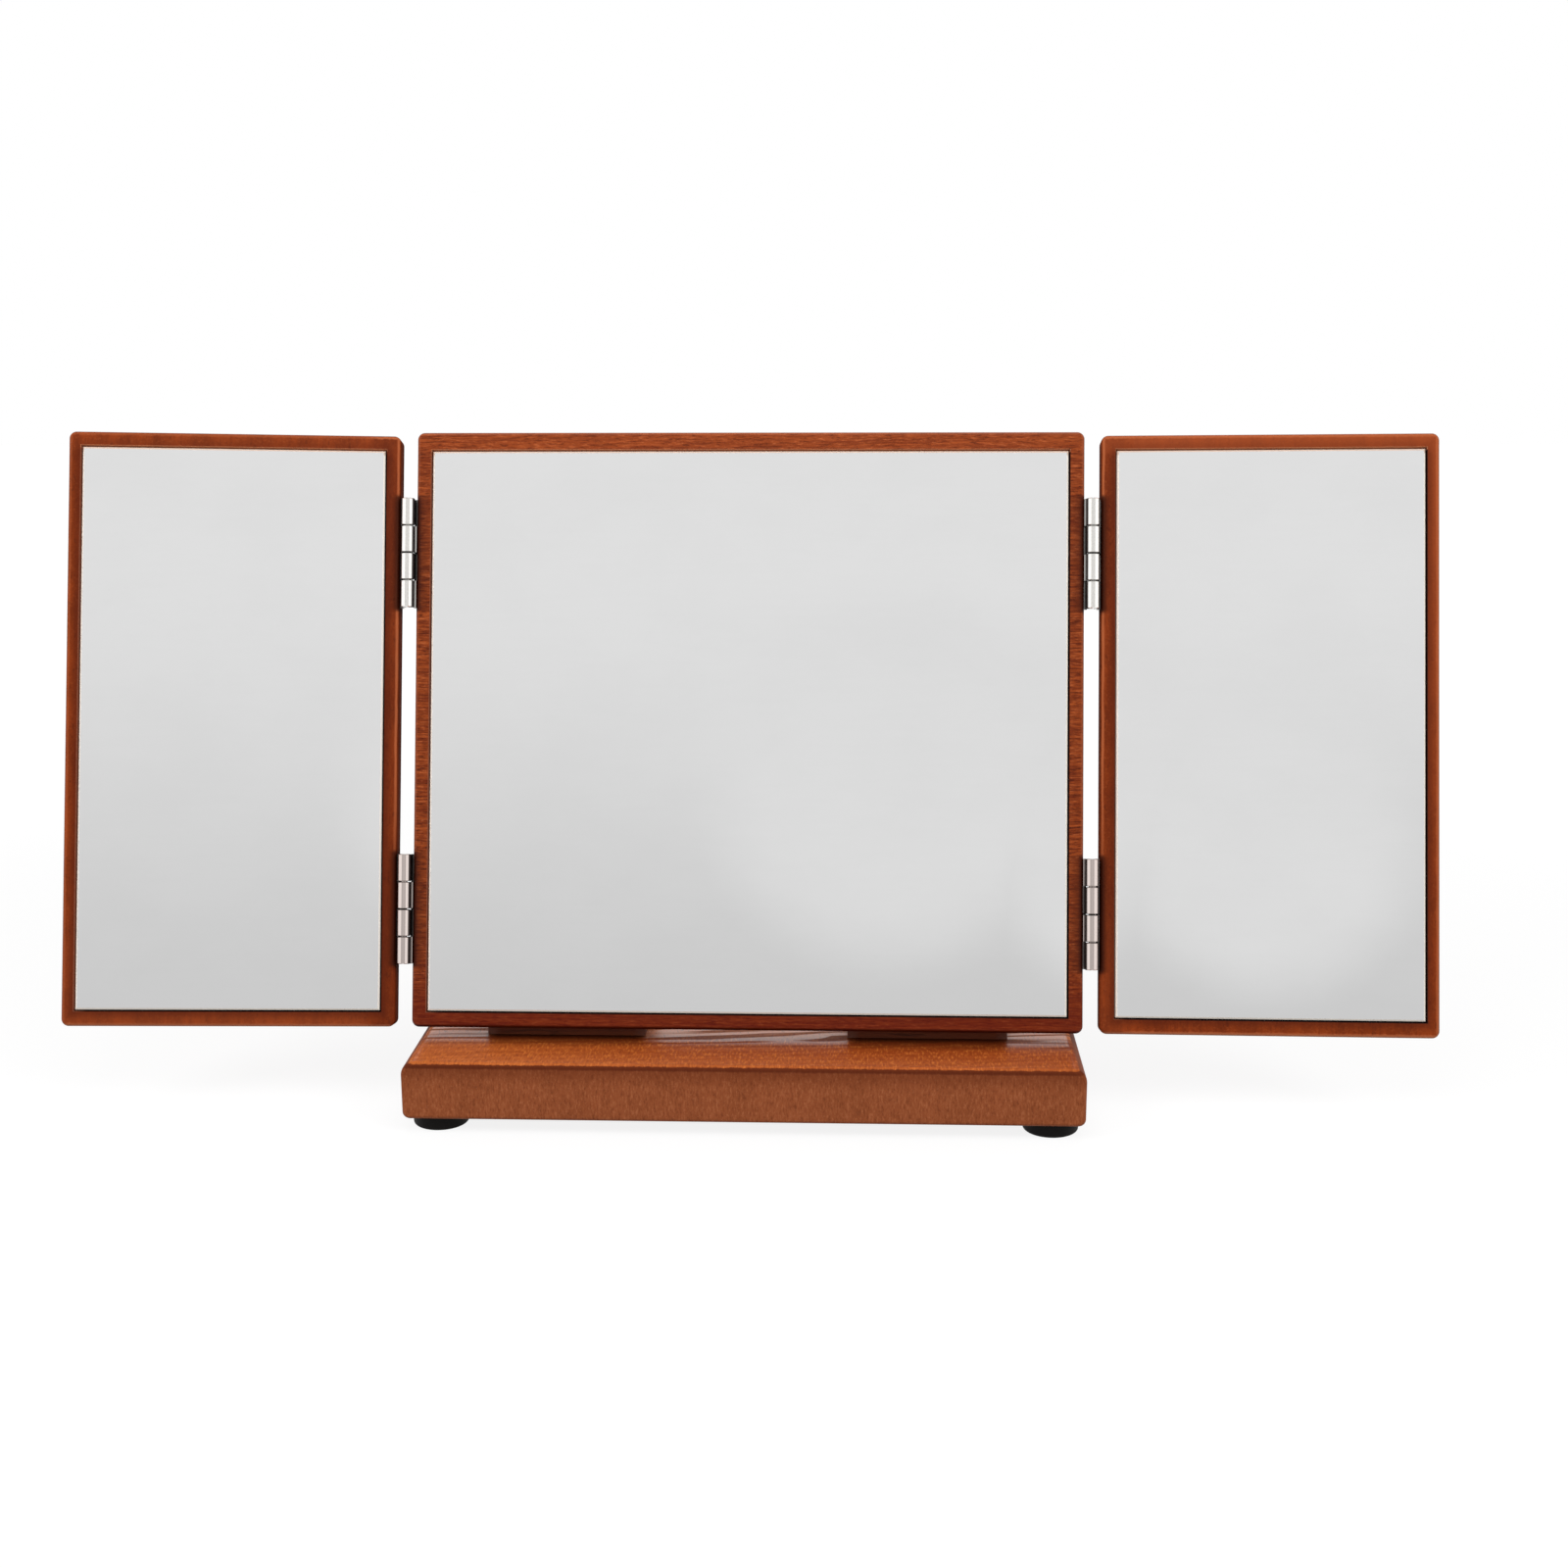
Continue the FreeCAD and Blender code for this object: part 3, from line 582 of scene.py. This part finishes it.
def wing_finish(side):
    """Stained lacquered board, lighter in places; wear and painted highlight on its edges, painted reflection
    at its foot.
    """
    material, nodes, shader = new_finish(f"{side}_wing_lacquer")
    place = panel_place(nodes, side)
    x, _, z = nodes.axes(place)
    zones = zones_of(nodes, side, place)
    stain = nodes.group(board_stain, {"Vector": place})
    marks = nodes.group(handling, {"Vector": place})
    low, high = span_in(panel_frames[side], f"{side}_panel")
    tone = wing_tone[side]
    inner = nodes.span(nodes.math("ABSOLUTE", x), pin_reach / 8, pin_reach / 12)
    upper = nodes.span(z, high.z - 8.0 * MM, high.z - 4.0 * MM)
    front = front_side(nodes, side, place)

    brush = nodes.noise(nodes.scaled(place, 620.0, 620.0, 60.0), 1.0, 3.0, 0.6)
    colour = nodes.blend(nodes.span(stain["Patch"], 0.3, 0.7), paint(112, 43, 12), paint(140, 57, 18))
    colour = nodes.tint(colour, nodes.span(brush, 0.47, 0.68), 0.38, paint(92, 31, 8))
    colour = nodes.tint(colour, nodes.span(stain["Fibre"], 0.50, 0.28), 0.45, paint(84, 28, 8))
    colour = nodes.tint(colour, nodes.span(stain["Speck"], 0.50, 0.74), 0.50, paint(160, 78, 38))
    colour = nodes.tint(colour, stain["Pit"], 0.4, paint(56, 16, 5))

    # lighter towards the top, and towards the outer side
    lightened = nodes.math("MULTIPLY", nodes.span(z, low.z, high.z), nodes.between(inner, tone["outer_lighter"], 0.0))
    lightened = nodes.math("MAXIMUM", lightened, nodes.math("MULTIPLY", upper, tone["top_lighter"]))
    colour = nodes.tint(colour, lightened, front, paint(168, 80, 42))
    foot = nodes.span(z, low.z + 70.0 * MM, low.z)
    colour = nodes.tint(colour, foot, nodes.between(inner, *tone["foot_lighter"]), paint(156, 76, 42))
    dark_tone = paint(80, 26, 9)
    # darker near the mirror's pocket
    darker_by_glass = nodes.math("SUBTRACT", 0.62, nodes.math("MULTIPLY", upper, 0.3))
    darker_by_glass = nodes.math("MULTIPLY", nodes.span(zones["Rim"], 3.4 * MM, 0.3 * MM), darker_by_glass)
    colour = nodes.tint(colour, darker_by_glass, front, dark_tone)
    # darker on the hinge side: stain, and painted shade from the hinges
    colour = nodes.tint(colour, inner, tone["hinge_stain_and_shade"], dark_tone)

    ragged = nodes.math("MULTIPLY", nodes.math("SUBTRACT", brush, 0.5), 0.8 * MM)
    inset = nodes.math("ADD", zones["Inset"], ragged)
    # lighter along the edges: wear, and painted highlight where the rounded edges catch the light
    wear_and_highlight = nodes.band(inset, 0.25 * MM, 0.55 * MM, 0.9 * MM, 1.5 * MM)
    inner_wear_and_highlight = nodes.span(z, low.z + 40.0 * MM, low.z + 90.0 * MM, 0.0, 0.75)
    colour = nodes.tint(colour, wear_and_highlight, nodes.between(inner, tone["outer_wear_and_highlight"], inner_wear_and_highlight), paint(182, 98, 58))
    colour = edge_tones(nodes, side, place, zones, colour, paint(58, 18, 4))
    # painted reflection of the floor along the panel's bottom edge
    foot_edge = nodes.span(z, low.z + 1.1 * MM, low.z + 0.3 * MM)
    colour = nodes.tint(colour, foot_edge, 0.5, paint(196, 128, 92))

    faces = panel_faces(nodes, side)
    nodes.put(shader, {
        "Base Color": colour, "Specular IOR Level": 0.09,
        "Roughness": nodes.between(faces, 0.95, nodes.span(marks["Smear"], 0.0, 1.0, 0.36, 0.48)),
        "Normal": relief(nodes, stain["Fibre"], 0.012 * MM),
    })
    return material


def support_finish():
    """Stained softwood of the wedge blocks, dusty at both ends of their fronts."""
    material, nodes, shader = new_finish("support_wood")
    place = own_place(nodes)
    x, y, _ = nodes.axes(place)
    low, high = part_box("right_support_block")
    ring_width = 3.5 * MM

    grain = nodes.group(wood_grain, {"Vector": nodes.counted(place, ring_width), "Waviness": 2.0})
    wood = nodes.blend(nodes.span(grain["Streak"], 0.3, 0.7), paint(116, 54, 30), paint(146, 74, 41))
    wood = nodes.tint(wood, grain["Pore"], 0.7, paint(40, 15, 9))
    across = nodes.math("ABSOLUTE", x)
    middle = nodes.band(across, low.x, low.x + 5.0 * MM, high.x - 5.0 * MM, high.x)
    toned = nodes.math("SUBTRACT", 1.0, middle)
    toned = nodes.math("MULTIPLY", toned, nodes.span(y, low.y + 5.0 * MM, low.y + 3.0 * MM))
    wood = nodes.tint(wood, toned, 0.7, paint(150, 104, 88))
    nodes.put(shader, {
        "Base Color": wood, "Roughness": nodes.span(grain["Streak"], 0.2, 0.8, 0.48, 0.62),
        "Specular IOR Level": 0.2, "Normal": relief(nodes, grain["Pore"], -0.03 * MM),
    })
    return material


def mirror_finish():
    """Silvered glass, painted behind; its ground front edge and its bare top and left sides glow with painted
    light.
    """
    material, nodes, shader = new_finish("mirror_glass")
    place = own_place(nodes)
    marks = nodes.group(handling, {"Vector": place})
    z = nodes.axes(panel_place(nodes, "centre"))[2]
    top = span_in(panel_frames["centre"], "centre_mirror")[1].z
    turned = nodes.dot(own_normal(nodes), facing("centre"))
    silvered = nodes.span(turned, 0.88, 0.94)
    painted = nodes.span(turned, 0.45, 0.3)
    # the top and left sides are left bare, to take the ground edge's colour and painted glow
    for bare_side in (pin_axis, Vector((-1.0, 0.0, 0.0))):
        bare = nodes.span(nodes.dot(own_normal(nodes), bare_side), 0.6, 0.9)
        painted = nodes.math("SUBTRACT", painted, nodes.math("MULTIPLY", painted, bare))

    silver = nodes.tint(grey(0.86), marks["Smear"], 0.6, grey(0.83))
    silver = nodes.tint(silver, marks["Wipe"], 0.1, grey(0.82))
    ground = nodes.blend(nodes.noise(place, 2600.0, 2.0), paint(232, 222, 208), paint(250, 244, 236))
    # painted shade: the ground edge darker along the mirrors' top
    ground = nodes.blend(nodes.span(z, top - 2.0 * MM, top - 1.0 * MM), ground, paint(206, 186, 170))
    backing = nodes.blend(nodes.noise(place, 400.0, 3.0), paint(96, 72, 62), paint(118, 92, 80))
    unsilvered = nodes.blend(painted, ground, backing)
    # painted light: the ground edge and the bare sides glow, though they are no lamp
    glow = nodes.blend(nodes.math("MAXIMUM", silvered, painted), ground, grey(0.0))
    nodes.put(shader, {
        "Base Color": nodes.blend(silvered, unsilvered, silver), "Metallic": silvered,
        "Roughness": nodes.between(silvered, 0.5, nodes.span(marks["Wipe"], 0.0, 1.0, 0.010, 0.025)),
        "Emission Color": glow, "Emission Strength": 0.22,
    })
    return material


def tape_finish():
    """White closed-cell foam."""
    material, nodes, shader = new_finish("foam_tape")
    cells = nodes.add("ShaderNodeTexVoronoi", {"Vector": own_place(nodes), "Scale": 2400.0})
    nodes.put(shader, {
        "Base Color": nodes.blend(cells, paint(205, 203, 196), paint(238, 237, 232)), "Roughness": 0.85,
        "Normal": relief(nodes, cells, 0.05 * MM),
    })
    return material


def foot_finish():
    """Black moulded rubber, a little dusty."""
    material, nodes, shader = new_finish("foot_rubber")
    place = own_place(nodes)
    grit = nodes.noise(place, 3200.0, 3.0, 0.65)
    dust = nodes.noise(place, 260.0, 4.0, 0.6)
    rubber = nodes.blend(nodes.span(grit, 0.3, 0.75), paint(9, 7, 6), paint(20, 17, 16))
    rubber = nodes.tint(rubber, nodes.span(dust, 0.55, 0.85), 0.2, paint(60, 55, 50))
    nodes.put(shader, {
        "Base Color": rubber, "Roughness": nodes.span(grit, 0.25, 0.8, 0.5, 0.68),
        "Specular IOR Level": 0.1, "Normal": relief(nodes, grit, 0.05 * MM),
    })
    return material


def plated_metal(nodes, dark, light, smooth, rough):
    """Colour and roughness of plated metal with fine drawing lines and wiped patches."""
    place = own_place(nodes)
    marks = nodes.group(handling, {"Vector": place})
    lines = nodes.noise(nodes.scaled(place, 5200.0, 5200.0, 260.0), 1.0, 3.0, 0.6)
    colour = nodes.blend(nodes.span(lines, 0.25, 0.75), dark, light)
    return colour, nodes.span(nodes.math("ADD", lines, marks["Wipe"]), 0.3, 1.5, smooth, rough)


def screw_finish():
    """Zinc-plated steel."""
    material, nodes, shader = new_finish("screw_steel")
    colour, roughness = plated_metal(nodes, paint(150, 148, 140), paint(205, 203, 196), 0.24, 0.42)
    nodes.put(shader, {"Base Color": colour, "Metallic": 1.0, "Roughness": roughness})
    return material


def hinge_shade_and_dirt(nodes, x, y, z):
    """Painted shade round a hinge's necks but for a bright line, and on its knuckles' sides; dirt in the gaps
    between.
    """
    aside = nodes.math("SUBTRACT", nodes.math("ABSOLUTE", x), pin_reach)
    from_pin = nodes.length(nodes.vector(aside, y, 0.0))
    knuckle = -span_in(panel_frames["centre"], "left_upper_hinge_centre_leaf")[0].y
    past = nodes.math("SUBTRACT", from_pin, knuckle)
    # painted shade in the crevice round the necks, but for a line left bright where a highlight shows
    crevice = nodes.band(past, 0.05 * MM, 0.15 * MM, 1.4 * MM, 2.4 * MM)
    highlight_line = nodes.band(past, 0.3 * MM, 0.4 * MM, 0.6 * MM, 0.7 * MM)
    highlight_line = nodes.math("MULTIPLY", highlight_line, nodes.span(aside, 0.5 * MM, -0.5 * MM, 0.0, 0.7))
    shade_and_dirt = nodes.math("SUBTRACT", crevice, highlight_line)
    # painted shade on the knuckles' sides, turned away from the light
    turned = nodes.math("DIVIDE", aside, from_pin)
    sides = nodes.math("MAXIMUM", nodes.span(turned, -0.70, -0.82), nodes.span(turned, 0.76, 0.88))
    sides = nodes.math("MULTIPLY", sides, nodes.span(past, 0.12 * MM, 0.04 * MM, 0.0, 0.9))
    shade_and_dirt = nodes.math("MAXIMUM", shade_and_dirt, sides)
    for hinge in ("left_upper_hinge", "left_lower_hinge"):
        low, high = span_in(panel_frames["centre"], f"{hinge}_centre_leaf")
        knuckle_length = (high.z - low.z) / knuckle_count
        for joint, share in enumerate(joint_dirt, 1):
            away = nodes.math("ABSOLUTE", nodes.math("SUBTRACT", z, low.z + joint * knuckle_length))
            shade_and_dirt = nodes.math("MAXIMUM", shade_and_dirt, nodes.span(away, 0.42 * MM, 0.22 * MM, 0.0, share))
    return shade_and_dirt


def hinge_finish():
    """Bright nickel, dark and dull in painted shade and in dirt, and warmer on the lower hinges."""
    material, nodes, shader = new_finish("hinge_nickel")
    colour, roughness = plated_metal(nodes, paint(222, 219, 214), paint(240, 238, 234), 0.08, 0.13)
    x, y, z = nodes.axes(panel_place(nodes, "centre"))
    colour = nodes.tint(colour, nodes.span(z, 30.0 * MM, -30.0 * MM), 0.8, paint(196, 180, 174))
    shade_and_dirt = hinge_shade_and_dirt(nodes, x, y, z)
    nodes.put(shader, {
        "Base Color": nodes.blend(shade_and_dirt, colour, paint(12, 9, 8)), "Metallic": 1.0,
        "Roughness": nodes.between(shade_and_dirt, roughness, 0.45),
    })
    return material


def dress(names, material):
    """Gives a finish to the named pieces."""
    for name in names:
        for slot in frame["nodes"][name].material_slots:
            slot.material = material


dress(["base_board"], base_finish())
dress(["centre_panel"], centre_finish())
dress(["left_panel"], wing_finish("left"))
dress(["right_panel"], wing_finish("right"))
dress(pieces_with("support_block"), support_finish())
dress(["centre_mirror", "left_mirror", "right_mirror"], mirror_finish())
dress(pieces_with("mirror_tape"), tape_finish())
dress([f"{end}_{side}_foot" for end in ("front", "rear") for side in ("left", "right")], foot_finish())
dress(pieces_with("_leaf", "_pin"), hinge_finish())
dress(pieces_with("_screws", "foot_washers"), screw_finish())


# Studio: a pale floor, a plain room and soft lamps


def seen_as_backdrop(nodes):
    """1 for what the camera sees straight, mirrored or through glass; then 1 for what it sees straight."""
    path = nodes.tree.nodes.new("ShaderNodeLightPath")
    seen = nodes.math("MAXIMUM", path.outputs["Is Camera Ray"], path.outputs["Is Glossy Ray"])
    return nodes.math("MAXIMUM", seen, path.outputs["Is Transmission Ray"]), path.outputs["Is Camera Ray"]


def make_floor():
    bpy.ops.object.select_all(action="DESELECT")
    bpy.ops.mesh.primitive_plane_add(size=floor_size, location=(0.0, 0.0, 0.0))
    floor = bpy.context.object
    floor.name = "studio_floor"
    material = bpy.data.materials.new("studio_floor")
    material.use_nodes = True
    material.node_tree.nodes.clear()
    nodes = Nodes(material.node_tree)
    seen, _ = seen_as_backdrop(nodes)
    away = nodes.length(own_place(nodes))
    strength = nodes.span(away, floor_near, floor_far, floor_glow, 1.0)
    glow = nodes.add("ShaderNodeEmission", {"Color": grey(1.0), "Strength": strength})
    shadow = nodes.add("ShaderNodeBsdfDiffuse", {"Color": grey(floor_shadow)})
    backdrop = nodes.add("ShaderNodeAddShader", {0: glow, 1: shadow})
    plain = nodes.add("ShaderNodeBsdfDiffuse", {"Color": grey(floor_albedo)})
    surface = nodes.add("ShaderNodeMixShader", {0: seen, 1: plain, 2: backdrop})
    nodes.add("ShaderNodeOutputMaterial", {"Surface": surface})
    floor.data.materials.append(material)


def make_room():
    """White to the camera; in gloss and mirrors, a room with bright sides in front and dark ones beside."""
    world = bpy.data.worlds.new("studio_room")
    world.use_nodes = True
    world.node_tree.nodes.clear()
    nodes = Nodes(world.node_tree)
    seen, by_camera = seen_as_backdrop(nodes)
    direction = nodes.add("ShaderNodeTexCoord", output="Generated")
    x, y, z = nodes.axes(direction)
    level = nodes.add("ShaderNodeVectorMath", {0: nodes.vector(x, y, 0.0)}, operation="NORMALIZE")
    turned = nodes.dot(level, (0.0, -1.0, 0.0))

    def cosines(angles):
        return [math.cos(math.radians(angle)) for angle in angles]

    def sector(angles):
        return nodes.span(turned, *cosines(angles))

    def heights(angles):
        return [math.sin(math.radians(angle)) for angle in angles]

    ahead = nodes.span(z, *heights(ahead_heights), room_ahead_low, room_ahead_high)
    glow = 0.0
    for patch in wall_glows:
        turn, height = math.radians(patch["turn"]), math.radians(patch["height"])
        toward = Matrix.Rotation(turn, 3, "Z") @ Vector((0.0, -math.cos(height), math.sin(height)))
        near = nodes.span(nodes.dot(direction, toward), *cosines(patch["reach"]))
        glow = nodes.math("MAXIMUM", glow, near)
    ahead = nodes.between(glow, ahead, wall_glow)
    ahead = nodes.between(nodes.span(z, *heights(horizon_heights)), 1.0, ahead)
    room = nodes.blend(sector(room_behind), grey(1.0), grey(room_dark))
    room = nodes.blend(sector(room_beside), room, grey(room_bright))
    room = nodes.blend(sector(room_ahead), room, nodes.vector(ahead, ahead, ahead))
    room = nodes.blend(nodes.span(z, *heights(overhead_heights)), room, grey(room_overhead))
    room = nodes.blend(by_camera, room, grey(1.0))
    backdrop = nodes.add("ShaderNodeBackground", {"Color": room, "Strength": 1.0})
    light = nodes.add("ShaderNodeBackground", {"Color": grey(1.0), "Strength": room_light})
    surface = nodes.add("ShaderNodeMixShader", {0: seen, 1: light, 2: backdrop})
    nodes.add("ShaderNodeOutputWorld", {"Surface": surface})
    bpy.context.scene.world = world


def make_lamps():
    """Soft lamps that light the object without showing in its gloss or its mirrors."""
    middle = (cad_low + cad_high) / 2
    for name, facts in lamps.items():
        lamp = bpy.data.lights.new(name, "AREA")
        lamp.size = facts["size"]
        lamp.energy = facts["power"]
        stand = bpy.data.objects.new(name, lamp)
        stand.location = facts["place"]
        stand.rotation_euler = (middle - Vector(facts["place"])).to_track_quat("-Z", "Y").to_euler()
        stand.visible_camera = False
        stand.visible_glossy = False
        bpy.context.scene.collection.objects.link(stand)


def make_camera():
    camera = bpy.data.cameras.new("photo_camera")
    camera.lens = lens_mm
    camera.sensor_width = sensor_mm
    stand = bpy.data.objects.new("photo_camera", camera)
    turn = Matrix.Rotation(camera_turn, 3, "Z")
    tilt = Matrix.Rotation(math.pi / 2 - camera_pitch, 3, "X")
    roll = Matrix.Rotation(camera_roll, 3, "Z")
    stand.location = camera_place
    stand.rotation_euler = (turn @ tilt @ roll).to_euler()
    bpy.context.scene.collection.objects.link(stand)
    bpy.context.scene.camera = stand


make_floor()
make_room()
make_lamps()
make_camera()
bpy.context.scene.view_settings.view_transform = "Standard"
